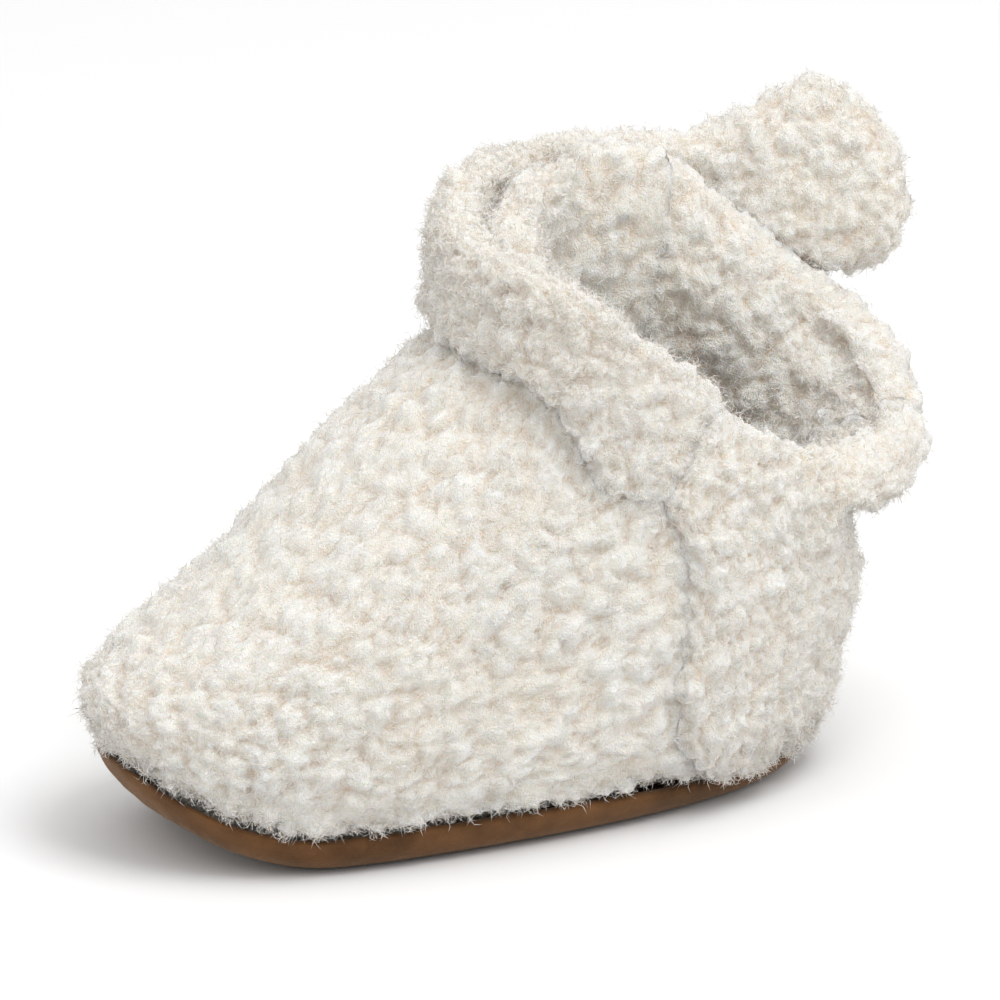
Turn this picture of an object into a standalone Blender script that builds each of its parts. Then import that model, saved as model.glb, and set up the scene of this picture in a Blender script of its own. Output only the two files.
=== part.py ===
"""A baby's soft wrap bootie: curly fleece upper on a suede cup sole.

The toe points along -Y, the heel along +Y, and +X is the near side. Every fleece piece
lies on one skin, a loft through ten level rings between the hem and the collar. A place on
the skin is an angle (0 at the toe, 90 on the near side, 180 at the heel, 270 on the far
side) and a level (0 at the hem, 9 at the collar). The near wing wraps over the front of
the ankle and round the far side, over the shorter far wing. Lengths are in millimetres
and become metres when a mesh is made.
"""

import math

import bmesh
import bpy
import numpy as np

MM = 0.001

# Overall sizes of the hem and the collar
SOLE_LENGTH = 119.0
SOLE_WIDTH = 54.0
ANKLE_HEIGHT = 100.0

# Layers, from the outside in
PILE_THICKNESS = 4.0
INTERLAYER = 2.1
LINING_THICKNESS = 2.3
WING_LINING_THICKNESS = 3.2
GAP = 0.3

# Suede cup sole, foam and insole
SUEDE_THICKNESS = 1.8
WALL_HEIGHT = 5.8
WALL_HEIGHT_TOE = 4.2
WALL_HEIGHT_HEEL = 3.2
WALL_INSET = 0.4
TOE_SPRING = 12.0
TOE_SPRING_START = -28.0
HEEL_SPRING = 1.4
HEEL_SPRING_START = 41.0
FLAT_HALF_WIDTH = 13.0
FOAM_THICKNESS = 2.5
SOCK_THICKNESS = 2.0
SOLE_LAYER_GAP = 0.5
RING_POINTS = 56

# Rings of the cup, underside to rim and down the inside: how far each lies inside the hem
# and its share of the wall's height; the inside ones are measured from the wall's inner face.
CUP_UNDERSIDE_INSET = 7.0
CUP_EDGE_RINGS = ((3.4, 0.14), (1.4, 0.42), (WALL_INSET, 0.75), (WALL_INSET, 1.0))
CUP_INSIDE_RINGS = ((0.0, 1.0), (0.6, 0.72))
CUP_CORNER_INSET = 3.0
CUP_CORNER_RISE = 0.3
CUP_FLOOR_INSET = 9.0

# Foam and insole: clearance inside the lining, and how far their edges draw in
SOLE_LAYER_CLEARANCE = 1.0
SOLE_LAYER_BOTTOM_INSET = 0.8
SOLE_LAYER_BOTTOM_RISE = 0.3
SOLE_LAYER_TOP_INSET = 0.6

# Closure
WING_THICKNESS = PILE_THICKNESS + GAP + WING_LINING_THICKNESS
PATCH_THICKNESS = 1.1
PATCH_ANGLES = (-119.0, -101.0)
PATCH_LEVELS = (7.5, 8.3)
TAIL_LENGTH = 38.0
TAIL_HALF_HEIGHT = 16.0
TAIL_CURL_RADIUS = 110.0
TAIL_RISE = 3.0
TAIL_EASE_SHARE = 0.5
TAIL_ROUNDNESS = 0.88
WING_BODY_SHARE = 0.8
FOLD_LINE_ANGLE = 91.2
FOLD_LINE_LEVELS = (5.2, 7.2)
FOLD_LINE_STAND_OFF = 0.6

# Threads, tape and elastic
THREAD_RADIUS = 0.35
SEAM_THREAD_LEVELS = (0.5, 4.6)
SOLE_SEAM_INSET = 5.6
SOLE_SEAM_RISE = 1.2
TAPE_WIDTH_DEGREES = 7.0
TAPE_LEVELS = (0.5, 4.2)
TAPE_THICKNESS = 0.35
ELASTIC_ANGLES = (132.0, 228.0)
ELASTIC_LEVELS = (4.45, 4.8)

# Half gap between two panels at a seam, in degrees round the foot
SEAM_GAP = 1.0

# Heights of the hem at the toe, the sides and the heel
HEM_HEIGHTS = np.array([
    TOE_SPRING + WALL_HEIGHT_TOE + GAP,
    WALL_HEIGHT + GAP,
    HEEL_SPRING + WALL_HEIGHT_HEEL + GAP,
])

# The level rings, bottom to top. Half width is in shares of SOLE_WIDTH, the y columns in
# shares of SOLE_LENGTH, and the z columns are heights above the hem in shares of
# ANKLE_HEIGHT.
# half width, widest y, toe y, heel y, toe z, side z, heel z
LEVELS = np.array([
    (0.500, -0.118, -0.487, 0.513, 0.000, 0.000, 0.000),
    (0.565, -0.101, -0.513, 0.550, 0.050, 0.079, 0.051),
    (0.583, -0.050, -0.508, 0.563, 0.110, 0.179, 0.141),
    (0.574, 0.017, -0.445, 0.588, 0.175, 0.279, 0.241),
    (0.556, 0.101, -0.328, 0.576, 0.275, 0.379, 0.331),
    (0.528, 0.168, -0.185, 0.550, 0.435, 0.479, 0.381),
    (0.481, 0.218, -0.055, 0.590, 0.570, 0.589, 0.416),
    (0.463, 0.244, 0.040, 0.648, 0.655, 0.709, 0.466),
    (0.463, 0.260, 0.055, 0.660, 0.765, 0.829, 0.541),
    (0.472, 0.269, 0.070, 0.640, 0.865, 0.939, 0.621),
])
FULLNESS = 0.16

# Seam between vamp and quarter: angle at each level
SEAM_LEVELS = (0.0, 1.0, 2.0, 3.0, 4.0, 5.0, 6.0, 6.6, 7.0)
SEAM_ANGLES = (126.0, 118.0, 113.0, 109.0, 103.0, 84.0, 56.0, 42.0, 34.0)
VAMP_TOP = 6.35
FOLD_ANGLE = 92.0

# Rim of the foot opening: level at shares of the way from the fold to the back seam
RIM_SHARES = (0.0, 0.1, 0.22, 0.38, 0.55, 0.72, 0.85, 1.0)
NEAR_RIM = (7.2, 6.5, 5.9, 5.45, 5.4, 5.9, 6.7, 7.7)
FAR_RIM = (8.6, 8.55, 8.5, 8.5, 8.6, 8.8, 8.7, 7.7)

# Outer wing: angle, lower level, upper level, how far its face stands off the skin
WING_CLEARANCE = 3.6
WING_STAND_OFF = WING_THICKNESS + WING_CLEARANCE
WING_ANGLES = (90.5, 75.0, 60.0, 40.0, 15.0, -15.0, -45.0, -75.0, -100.0, -118.0)
WING_LOWER = (5.3, 5.9, 6.45, 6.8, 6.9, 6.9, 6.9, 6.95, 7.1, 7.2)
WING_UPPER = (7.2, 7.85, 8.5, 8.75, 8.85, 9.0, 9.0, 8.9, 8.8, 8.9)
WING_OFF = (0.0, 0.12, 0.3, 0.68, 0.75, 0.75, 0.82, 0.93, 1.0, 1.0)

# Inner wing: angle, lower level, upper level
INNER_ANGLES = (-90.5, -65.0, -40.0, -15.0, 8.0, 26.0)
INNER_LOWER = (5.35, 6.3, 6.95, 7.2, 7.25, 7.4)
INNER_UPPER = (8.4, 8.5, 8.6, 8.6, 8.4, 8.0)


def through(xs, values, at):
    """Values at the places at, on a smooth curve through the points (xs, values)."""
    xs = np.asarray(xs, float)
    values = np.asarray(values, float)
    at = np.asarray(at, float)
    slopes = np.gradient(values, xs, axis=0)
    i = np.clip(np.searchsorted(xs, at, side="right") - 1, 0, len(xs) - 2)
    step = xs[i + 1] - xs[i]
    t = (at - xs[i]) / step
    if values.ndim > 1:
        t = t[..., None]
        step = step[..., None]
    rise = 3 * t**2 - 2 * t**3
    lead = t * (1 - t) ** 2
    lag = t**2 * (t - 1)
    mix = values[i] * (1 - rise) + values[i + 1] * rise
    return mix + step * (slopes[i] * lead + slopes[i + 1] * lag)


def lift(y):
    """Height of the sole's underside: flat, then springing up at the toe and the heel."""
    toe_reach = LEVELS[0, 2] * SOLE_LENGTH - TOE_SPRING_START
    heel_reach = LEVELS[0, 3] * SOLE_LENGTH - HEEL_SPRING_START
    toe = np.clip((y - TOE_SPRING_START) / toe_reach, 0, None)
    heel = np.clip((y - HEEL_SPRING_START) / heel_reach, 0, None)
    return TOE_SPRING * toe**2 + HEEL_SPRING * heel**2


def wall_height(theta):
    """Height of the cup sole's wall at the angle theta, in radians."""
    front = np.clip(np.cos(theta), 0, 1) ** 2
    back = np.clip(-np.cos(theta), 0, 1) ** 2
    toe = front * (WALL_HEIGHT_TOE - WALL_HEIGHT)
    heel = back * (WALL_HEIGHT_HEEL - WALL_HEIGHT)
    return WALL_HEIGHT + toe + heel


def oval(theta, half_width, widest, toe, heel):
    """Plan of one ring: two half ovals that share their widest point."""
    front = np.clip(np.cos(theta), 0, 1)
    back = np.clip(-np.cos(theta), 0, 1)
    x = half_width * np.sin(theta) * (1 + FULLNESS * np.cos(theta) ** 2)
    y = widest + front * (toe - widest) + back * (heel - widest)
    return x, y


def heights(theta, toe, side, heel):
    """Height of one ring, eased between the toe, the sides and the heel."""
    front = np.clip(np.cos(theta), 0, 1) ** 2
    back = np.clip(-np.cos(theta), 0, 1) ** 2
    return side + front * (toe - side) + back * (heel - side)


def skin(angle, level):
    """Points of the fleece's outer face at angles in degrees and levels."""
    theta = np.radians(angle)
    ring = through(np.arange(len(LEVELS)), LEVELS, level)
    length_columns = ring[..., 1:4] * SOLE_LENGTH
    x, y = oval(theta, ring[..., 0] * SOLE_WIDTH, *np.moveaxis(length_columns, -1, 0))
    z = heights(theta, *np.moveaxis(HEM_HEIGHTS + ring[..., 4:7] * ANKLE_HEIGHT, -1, 0))
    hem_y = oval(theta, 1.0, *(LEVELS[0, 1:4] * SOLE_LENGTH))[1]
    hem_z = lift(hem_y) + wall_height(theta) + GAP
    fade = np.clip(1 - level, 0, None)
    z = z + fade * (hem_z - heights(theta, *HEM_HEIGHTS))
    return np.stack([x, y, z], axis=-1)


def unit(vectors):
    """The vectors at length 1."""
    return vectors / np.linalg.norm(vectors, axis=-1, keepdims=True)


def normals(grid):
    """Unit normals of a grid of points, rows running up and columns running round."""
    return unit(np.cross(np.gradient(grid, axis=1), np.gradient(grid, axis=0)))


def layer(angle, level, depth):
    """Points at a depth under the skin, or above it where the depth is negative."""
    angle, level = np.broadcast_arrays(np.asarray(angle, float), level)
    across = skin(angle + 0.5, level) - skin(angle - 0.5, level)
    up = skin(angle, level + 0.02) - skin(angle, level - 0.02)
    depth = np.asarray(depth, float)[..., None]
    return skin(angle, level) - unit(np.cross(across, up)) * depth


def outwards(angle, level):
    """Level unit vectors that point away from the skin."""
    away = layer(angle, level, -1.0) - skin(angle, level)
    away[..., 2] = 0
    return unit(away)


def seam(level):
    """Angle of the seam between vamp and quarter at each level."""
    return through(SEAM_LEVELS, SEAM_ANGLES, level)


def vamp_places(rows, columns):
    """Angles and levels of the toe panel, from the near seam to the far seam."""
    level = np.linspace(0, VAMP_TOP, rows)[:, None]
    share = np.linspace(-1, 1, columns)[None, :]
    return share * (seam(level) - SEAM_GAP), level + 0 * share


def quarter_places(side, rows, columns):
    """Angles and levels of the side and heel panel, near (side 1) or far (side -1)."""
    rim = NEAR_RIM if side > 0 else FAR_RIM
    share = np.linspace(0, 1, columns)[None, :]
    climb = np.linspace(0, 1, rows)[:, None]
    front_level = climb * rim[0]
    front = np.maximum(seam(np.minimum(front_level, SEAM_LEVELS[-1])), FOLD_ANGLE)
    angle = front + SEAM_GAP + share * (180 - 2 * SEAM_GAP - front)
    level = climb * through(RIM_SHARES, rim, share)
    if side > 0:
        return angle, level
    return (360 - angle)[:, ::-1], level[:, ::-1]


def wing_grid(rows, columns):
    """Outer wing, from its fold on the near side to the end of its free tail."""
    body_columns = int(round(columns * WING_BODY_SHARE))
    angle = np.linspace(WING_ANGLES[0], WING_ANGLES[-1], body_columns)[::-1]
    table = [t[::-1] for t in (WING_ANGLES, WING_LOWER, WING_UPPER, WING_OFF)]
    lower, upper, off = (through(table[0], t, angle) for t in table[1:])
    across = np.linspace(0, 1, rows)[:, None]
    level = lower + across * (upper - lower)
    angle = angle[None, :] + 0 * level
    body = skin(angle, level) + outwards(angle, level) * off[None, :, None] * WING_STAND_OFF
    body = body[:, ::-1]
    return np.concatenate([body, tail_grid(body, across, columns - body_columns)], axis=1)[:, ::-1]


def tail_grid(body, across, columns):
    """Free end of the outer wing, running on from the body grid's last column."""
    start = body[:, -1].mean(axis=0)
    half = (body[-1, -1] - body[0, -1]) / 2
    run = (body[:, -1] - body[:, -2]).mean(axis=0)
    heading = math.atan2(run[0], run[1])
    s = np.linspace(0, TAIL_LENGTH, columns + 1)[1:]
    turn = heading + s / TAIL_CURL_RADIUS
    step = TAIL_LENGTH / columns
    x = start[0] + np.cumsum(np.sin(turn)) * step
    y = start[1] + np.cumsum(np.cos(turn)) * step
    ease = np.clip(s / (TAIL_EASE_SHARE * TAIL_LENGTH), 0, 1)
    ease = ease**2 * (3 - 2 * ease)
    past = np.clip((s - TAIL_LENGTH + TAIL_HALF_HEIGHT) / TAIL_HALF_HEIGHT, 0, 1)
    roundness = np.sqrt(1 - TAIL_ROUNDNESS * past**2)
    upright = np.array([0.0, 0.0, TAIL_HALF_HEIGHT])
    vector = half * (1 - ease)[:, None] + upright * ease[:, None]
    vector = vector * roundness[:, None]
    centre = np.stack([x, y, start[2] + TAIL_RISE * ease], axis=-1)
    return centre[None] + (2 * across[..., None] - 1) * vector[None]


def inner_wing_places(rows, columns):
    """Angles and levels of the inner wing, from its fold to its tip."""
    angle = np.linspace(INNER_ANGLES[0], INNER_ANGLES[-1], columns)
    lower = through(INNER_ANGLES, INNER_LOWER, angle)
    upper = through(INNER_ANGLES, INNER_UPPER, angle)
    level = lower + np.linspace(0, 1, rows)[:, None] * (upper - lower)
    return angle[None, :] + 0 * level, level


def patch_places(first, last, low, high, rows, columns):
    """Angles and levels of a patch of the skin between two angles and two levels."""
    angle = np.linspace(first, last, columns)[None, :]
    level = np.linspace(low, high, rows)[:, None]
    return angle + 0 * level, level + 0 * angle


def material(name, colour, roughness, metallic=0.0):
    """One Principled BSDF material."""
    made = bpy.data.materials.new(name)
    made.use_nodes = True
    shader = made.node_tree.nodes["Principled BSDF"]
    shader.inputs["Base Color"].default_value = (*colour, 1)
    shader.inputs["Roughness"].default_value = roughness
    shader.inputs["Metallic"].default_value = metallic
    return made


def place(ob, look, parent):
    """Gives an object its material, collection and parent, keeping it where it is."""
    ob.data.materials.clear()
    ob.data.materials.append(look)
    bpy.data.collections["baby_bootie"].objects.link(ob)
    ob.parent = parent
    ob.matrix_parent_inverse = parent.matrix_world.inverted()
    return ob


def shell(name, outer, inner, look, parent):
    """Closed shell lofted between an outer and an inner grid of points."""
    rows, columns = outer.shape[:2]
    bm = bmesh.new()
    faces = []
    for grid, flip in ((outer, False), (inner, True)):
        verts = [[bm.verts.new(point * MM) for point in row] for row in grid]
        faces.append(verts)
        for low, high in zip(verts, verts[1:]):
            for i in range(columns - 1):
                quad = (low[i], low[i + 1], high[i + 1], high[i])
                bm.faces.new(quad[::-1] if flip else quad)
    edges = []
    for verts in faces:
        left = [row[0] for row in verts[::-1]]
        right = [row[-1] for row in verts]
        edges.append(verts[0][:-1] + right[:-1] + verts[-1][:0:-1] + left[:-1])
    count = len(edges[0])
    for i in range(count):
        j = (i + 1) % count
        bm.faces.new((edges[0][j], edges[0][i], edges[1][i], edges[1][j]))
    mesh = bpy.data.meshes.new(name)
    bm.to_mesh(mesh)
    bm.free()
    mesh.shade_smooth()
    mesh.set_sharp_from_angle(angle=math.radians(60))
    return place(bpy.data.objects.new(name, mesh), look, parent)


def skin_shell(name, places, depth, thickness, look, parent):
    """Shell that follows the skin from one depth to a thickness below it."""
    outer = layer(*places, depth)
    return shell(name, outer, layer(*places, depth + thickness), look, parent)


def ring_solid(name, rings, look, parent):
    """Solid lofted through rings of equal length, closed by a flat face at each end."""
    bm = bmesh.new()
    loops = [[bm.verts.new(point * MM) for point in ring] for ring in rings]
    count = len(loops[0])
    for low, high in zip(loops, loops[1:]):
        for i in range(count):
            j = (i + 1) % count
            bm.faces.new((low[i], low[j], high[j], high[i]))
    bm.faces.new(loops[0][::-1])
    bm.faces.new(loops[-1])
    bmesh.ops.recalc_face_normals(bm, faces=bm.faces)
    mesh = bpy.data.meshes.new(name)
    bm.to_mesh(mesh)
    bm.free()
    mesh.shade_smooth()
    mesh.set_sharp_from_angle(angle=math.radians(40))
    return place(bpy.data.objects.new(name, mesh), look, parent)


def thread(name, points, look, parent, closed=False):
    """Sewing thread through the points: a poly curve with a round bevel."""
    curve = bpy.data.curves.new(name, "CURVE")
    curve.dimensions = "3D"
    curve.bevel_depth = THREAD_RADIUS * MM
    curve.bevel_resolution = 1
    curve.use_fill_caps = True
    spline = curve.splines.new("POLY")
    spline.points.add(len(points) - 1)
    for point, position in zip(spline.points, points):
        point.co = (*(position * MM), 1)
    spline.use_cyclic_u = closed
    return place(bpy.data.objects.new(name, curve), look, parent)


def sole_ring(inset, height_share, rise=0.0):
    """Ring of the sole: the hem's plan set in, at a share of the wall's height."""
    theta = np.linspace(0, 2 * math.pi, RING_POINTS, endpoint=False)
    widest, toe, heel = LEVELS[0, 1:4] * SOLE_LENGTH
    half_width = LEVELS[0, 0] * SOLE_WIDTH
    x, y = oval(theta, half_width - inset, widest, toe + inset, heel - inset)
    z = lift(y) + height_share * wall_height(theta) + rise
    return np.stack([x, y, z], axis=-1)


def flat_ring(rise):
    """Ring that bounds the flat middle of the sole."""
    theta = np.linspace(0, 2 * math.pi, RING_POINTS, endpoint=False)
    middle = (TOE_SPRING_START + HEEL_SPRING_START) / 2
    x, y = oval(theta, FLAT_HALF_WIDTH, middle, TOE_SPRING_START, HEEL_SPRING_START)
    return np.stack([x, y, np.full(RING_POINTS, rise)], axis=-1)


def outsole(look, parent):
    """Suede cup: flat underside, rounded edge, wall and hollow inside."""
    inner = WALL_INSET + SUEDE_THICKNESS
    corner = SUEDE_THICKNESS + CUP_CORNER_RISE
    rings = [flat_ring(0.0), sole_ring(CUP_UNDERSIDE_INSET, 0.0)]
    rings += [sole_ring(inset, share) for inset, share in CUP_EDGE_RINGS]
    rings += [sole_ring(inner + inset, share) for inset, share in CUP_INSIDE_RINGS]
    rings += [sole_ring(inner + CUP_CORNER_INSET, 0.0, rise=corner)]
    rings += [sole_ring(CUP_FLOOR_INSET, 0.0, rise=SUEDE_THICKNESS)]
    rings += [flat_ring(SUEDE_THICKNESS)]
    return ring_solid("outsole", rings, look, parent)


def sole_layer(name, bottom, thickness, look, parent):
    """Layer inside the cup, following its spring: the foam or the insole."""
    edge = PILE_THICKNESS + INTERLAYER + LINING_THICKNESS + SOLE_LAYER_CLEARANCE
    low_edge = edge + SOLE_LAYER_BOTTOM_INSET
    rings = [
        flat_ring(bottom),
        sole_ring(low_edge, 0.0, rise=bottom + SOLE_LAYER_BOTTOM_RISE),
        sole_ring(edge, 0.0, rise=bottom + 0.5 * thickness),
        sole_ring(edge + SOLE_LAYER_TOP_INSET, 0.0, rise=bottom + thickness),
        flat_ring(bottom + thickness),
    ]
    return ring_solid(name, rings, look, parent)


def under(grid, depth):
    """The grid moved inwards by depth."""
    return grid - normals(grid) * depth


def fold_axis(side):
    """Two points on a wing's fold line, just outside the skin."""
    off = np.array([side * FOLD_LINE_STAND_OFF, 0, 0])
    return [skin(side * FOLD_LINE_ANGLE, level) + off for level in FOLD_LINE_LEVELS]


def pivot(name, side, parent):
    """Empty on a wing's fold line, its Z axis along the line."""
    low, high = fold_axis(side)
    empty = bpy.data.objects.new(name, None)
    bpy.data.collections["baby_bootie"].objects.link(empty)
    direction = high - low
    tilt = math.atan2(direction[0], direction[2])
    empty.location = (low + high) / 2 * MM
    empty.rotation_euler = (0, tilt, 0)
    empty.parent = parent
    bpy.context.view_layer.update()
    return empty


def build_uppers(fleece, lining, root):
    """Vamp and quarters, each an outer fleece panel and its lining."""
    depth = PILE_THICKNESS + INTERLAYER
    panels = {
        "vamp": vamp_places(13, 29),
        "near_quarter": quarter_places(1, 29, 13),
        "far_quarter": quarter_places(-1, 35, 13),
    }
    for name, places in panels.items():
        skin_shell(name + "_fleece", places, 0, PILE_THICKNESS, fleece, root)
        skin_shell(name + "_lining", places, depth, LINING_THICKNESS, lining, root)


def build_wings(fleece, lining, outer, inner):
    """The two wrap wings, each a fleece side and a lining side."""
    depth = PILE_THICKNESS + GAP
    places = inner_wing_places(7, 17)
    skin_shell("inner_wing_fleece", places, 0, PILE_THICKNESS, fleece, inner)
    skin_shell("inner_wing_lining", places, depth, WING_LINING_THICKNESS, lining, inner)
    grid = wing_grid(8, 34)
    shell("outer_wing_fleece", grid, under(grid, PILE_THICKNESS), fleece, outer)
    shell("outer_wing_lining", under(grid, depth), under(grid, WING_THICKNESS), lining, outer)


def build_closure(loop, hook, root, outer):
    """Loop patch on the far quarter, and the hook patch that meets it on the outer wing."""
    places = patch_places(*PATCH_ANGLES, *PATCH_LEVELS, 5, 7)
    hook_depth = -(GAP + PATCH_THICKNESS + GAP + PATCH_THICKNESS)
    loop_depth = -(GAP + PATCH_THICKNESS)
    skin_shell("loop_patch", places, loop_depth, PATCH_THICKNESS, loop, root)
    skin_shell("hook_patch", places, hook_depth, PATCH_THICKNESS, hook, outer)


def build_between_layers(cotton, elastic, root):
    """What is sewn between fleece and lining: seam threads, heel tape and elastic."""
    depth = PILE_THICKNESS + GAP
    half = TAPE_WIDTH_DEGREES / 2
    tape = patch_places(180 - half, 180 + half, *TAPE_LEVELS, 14, 5)
    skin_shell("back_seam_tape", tape, depth, TAPE_THICKNESS, cotton, root)
    band = patch_places(*ELASTIC_ANGLES, *ELASTIC_LEVELS, 5, 25)
    skin_shell("heel_elastic", band, depth, TAPE_THICKNESS, elastic, root)
    levels = np.linspace(*SEAM_THREAD_LEVELS, 14)
    for name, side in (("near_seam_thread", 1), ("far_seam_thread", -1)):
        line = layer(side * seam(levels), levels, PILE_THICKNESS + 0.5 * INTERLAYER)
        thread(name, line, cotton, root)


def seat(root):
    """Moves the whole bootie so that the middle of its box's underside is the origin."""
    bpy.context.view_layer.update()
    graph = bpy.context.evaluated_depsgraph_get()
    low = np.full(3, np.inf)
    high = -low
    for ob in bpy.data.collections["baby_bootie"].objects:
        if ob.type == "EMPTY":
            continue
        mesh = ob.evaluated_get(graph).to_mesh()
        points = np.array([ob.matrix_world @ v.co for v in mesh.vertices])
        low = np.minimum(low, points.min(axis=0))
        high = np.maximum(high, points.max(axis=0))
    root.location = (-(low[0] + high[0]) / 2, -(low[1] + high[1]) / 2, -low[2])


def main():
    """Builds the bootie."""
    for ob in list(bpy.data.objects):
        bpy.data.objects.remove(ob, do_unlink=True)
    collection = bpy.data.collections.new("baby_bootie")
    bpy.context.scene.collection.children.link(collection)
    fleece = material("cream_fleece", (0.86, 0.80, 0.70), 0.95)
    lining = material("lining_fleece", (0.83, 0.76, 0.66), 0.95)
    suede = material("brown_suede", (0.22, 0.10, 0.035), 0.9)
    foam = material("foam", (0.8, 0.78, 0.7), 0.9)
    cotton = material("cotton_thread", (0.75, 0.69, 0.58), 0.8)
    elastic = material("elastic", (0.82, 0.8, 0.76), 0.7)
    loop = material("loop_fabric", (0.8, 0.77, 0.7), 0.9)
    hook = material("hook_fabric", (0.72, 0.7, 0.65), 0.5)
    root = bpy.data.objects.new("bootie_root", None)
    collection.objects.link(root)
    outer = pivot("outer_wing_fold", 1, root)
    inner = pivot("inner_wing_fold", -1, root)
    outsole(suede, root)
    foam_bottom = SUEDE_THICKNESS + SOLE_LAYER_GAP
    sole_layer("midsole_foam", foam_bottom, FOAM_THICKNESS, foam, root)
    sock_bottom = foam_bottom + FOAM_THICKNESS + SOLE_LAYER_GAP
    sole_layer("insole_sock", sock_bottom, SOCK_THICKNESS, lining, root)
    build_uppers(fleece, lining, root)
    build_wings(fleece, lining, outer, inner)
    build_closure(loop, hook, root, outer)
    build_between_layers(cotton, elastic, root)
    seam_ring = sole_ring(SOLE_SEAM_INSET, 0.0, rise=SUEDE_THICKNESS + SOLE_SEAM_RISE)
    thread("sole_seam_thread", seam_ring, cotton, root, closed=True)
    seat(root)


main()
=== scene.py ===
"""Looks of a baby's soft wrap bootie: curly fleece, suede sole, soft light and a pale floor."""

import math

import bpy
import numpy as np
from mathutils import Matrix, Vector


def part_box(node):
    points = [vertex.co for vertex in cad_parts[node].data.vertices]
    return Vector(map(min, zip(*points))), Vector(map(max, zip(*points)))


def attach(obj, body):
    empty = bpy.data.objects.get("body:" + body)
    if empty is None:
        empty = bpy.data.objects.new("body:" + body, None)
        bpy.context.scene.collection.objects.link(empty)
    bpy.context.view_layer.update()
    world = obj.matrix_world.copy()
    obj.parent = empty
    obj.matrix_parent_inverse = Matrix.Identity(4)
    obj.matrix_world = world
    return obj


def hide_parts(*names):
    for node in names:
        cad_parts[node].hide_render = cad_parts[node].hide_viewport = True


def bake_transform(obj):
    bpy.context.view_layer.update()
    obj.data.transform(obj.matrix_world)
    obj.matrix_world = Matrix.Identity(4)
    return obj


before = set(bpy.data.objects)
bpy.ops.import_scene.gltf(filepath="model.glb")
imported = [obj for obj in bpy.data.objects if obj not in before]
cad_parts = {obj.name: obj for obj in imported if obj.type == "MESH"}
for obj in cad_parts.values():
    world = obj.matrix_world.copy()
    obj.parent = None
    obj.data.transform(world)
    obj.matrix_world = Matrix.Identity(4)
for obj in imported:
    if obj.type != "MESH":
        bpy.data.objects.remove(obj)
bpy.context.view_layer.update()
SOLE_BOX = [np.array(corner) * 1000 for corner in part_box("outsole")]

bl_info = {
    "name": "Baby Bootie",
    "version": (1, 0, 0),
    "blender": (4, 5, 0),
    "location": "View3D > Sidebar > Bootie",
    "description": "Builds a curly fleece wrap bootie on a suede cup sole",
    "category": "Add Mesh",
}

# Lengths are in millimetres in the bootie's own frame, whose middle is the sole's; a piece
# is moved by SHIFT and turned into metres when its mesh is made.
WALL_INSET = 0.4
SOLE_LENGTH = float(SOLE_BOX[1][1] - SOLE_BOX[0][1]) + 2 * WALL_INSET
SOLE_WIDTH = 54.0
ANKLE_HEIGHT = 100.0
TOE_SHARE = -0.487
SHIFT = np.array([
    (SOLE_BOX[0][0] + SOLE_BOX[1][0]) / 2,
    SOLE_BOX[0][1] - WALL_INSET - TOE_SHARE * SOLE_LENGTH,
    0.0,
])
WALL_HEIGHTS = (4.2, 5.8, 3.2)
TOE_SPRING = 12.0
TOE_SPRING_START = -28.0
HEEL_SPRING = 1.4
HEEL_SPRING_START = 41.0
SUEDE_THICKNESS = 1.8
FULLNESS = 0.16

# Heights of the hem at the toe, the sides and the heel
HEM_GAP = 0.3
HEM_HEIGHTS = np.array(WALL_HEIGHTS) + np.array([TOE_SPRING, 0.0, HEEL_SPRING]) + HEM_GAP

# Level rings of the skin, hem to collar: half width, widest y, toe y, heel y, then the
# heights above the hem at the toe, the sides and the heel, in shares of the sizes above.
LEVELS = np.array([
    (0.500, -0.118, TOE_SHARE, 0.513, 0.000, 0.000, 0.000),
    (0.565, -0.101, -0.513, 0.550, 0.050, 0.079, 0.051),
    (0.583, -0.050, -0.508, 0.563, 0.110, 0.179, 0.141),
    (0.574, 0.017, -0.445, 0.588, 0.175, 0.279, 0.241),
    (0.556, 0.101, -0.328, 0.576, 0.275, 0.379, 0.331),
    (0.528, 0.168, -0.185, 0.550, 0.435, 0.479, 0.381),
    (0.481, 0.218, -0.055, 0.590, 0.570, 0.589, 0.416),
    (0.463, 0.244, 0.040, 0.648, 0.655, 0.709, 0.466),
    (0.463, 0.260, 0.055, 0.660, 0.765, 0.829, 0.541),
    (0.472, 0.269, 0.070, 0.640, 0.865, 0.939, 0.621),
])
SEAM_LEVELS = (-0.5, 0.0, 1.0, 2.0, 3.0, 4.0, 5.0, 6.0, 6.6, 7.0)
SEAM_ANGLES = (128.0, 126.0, 118.0, 113.0, 109.0, 103.0, 92.0, 78.0, 66.0, 60.0)
HEM_LEVEL = 0.07
VAMP_TOP = 6.75
FOLD_ANGLE = 92.0

RIM_SHARES = (0.0, 0.1, 0.22, 0.38, 0.55, 0.72, 0.85, 1.0)
NEAR_RIM = (6.4, 6.3, 6.1, 6.0, 6.15, 6.65, 7.2, 7.7)
FAR_RIM = (8.7, 8.85, 8.85, 8.75, 8.75, 8.8, 8.6, 7.7)

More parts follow.
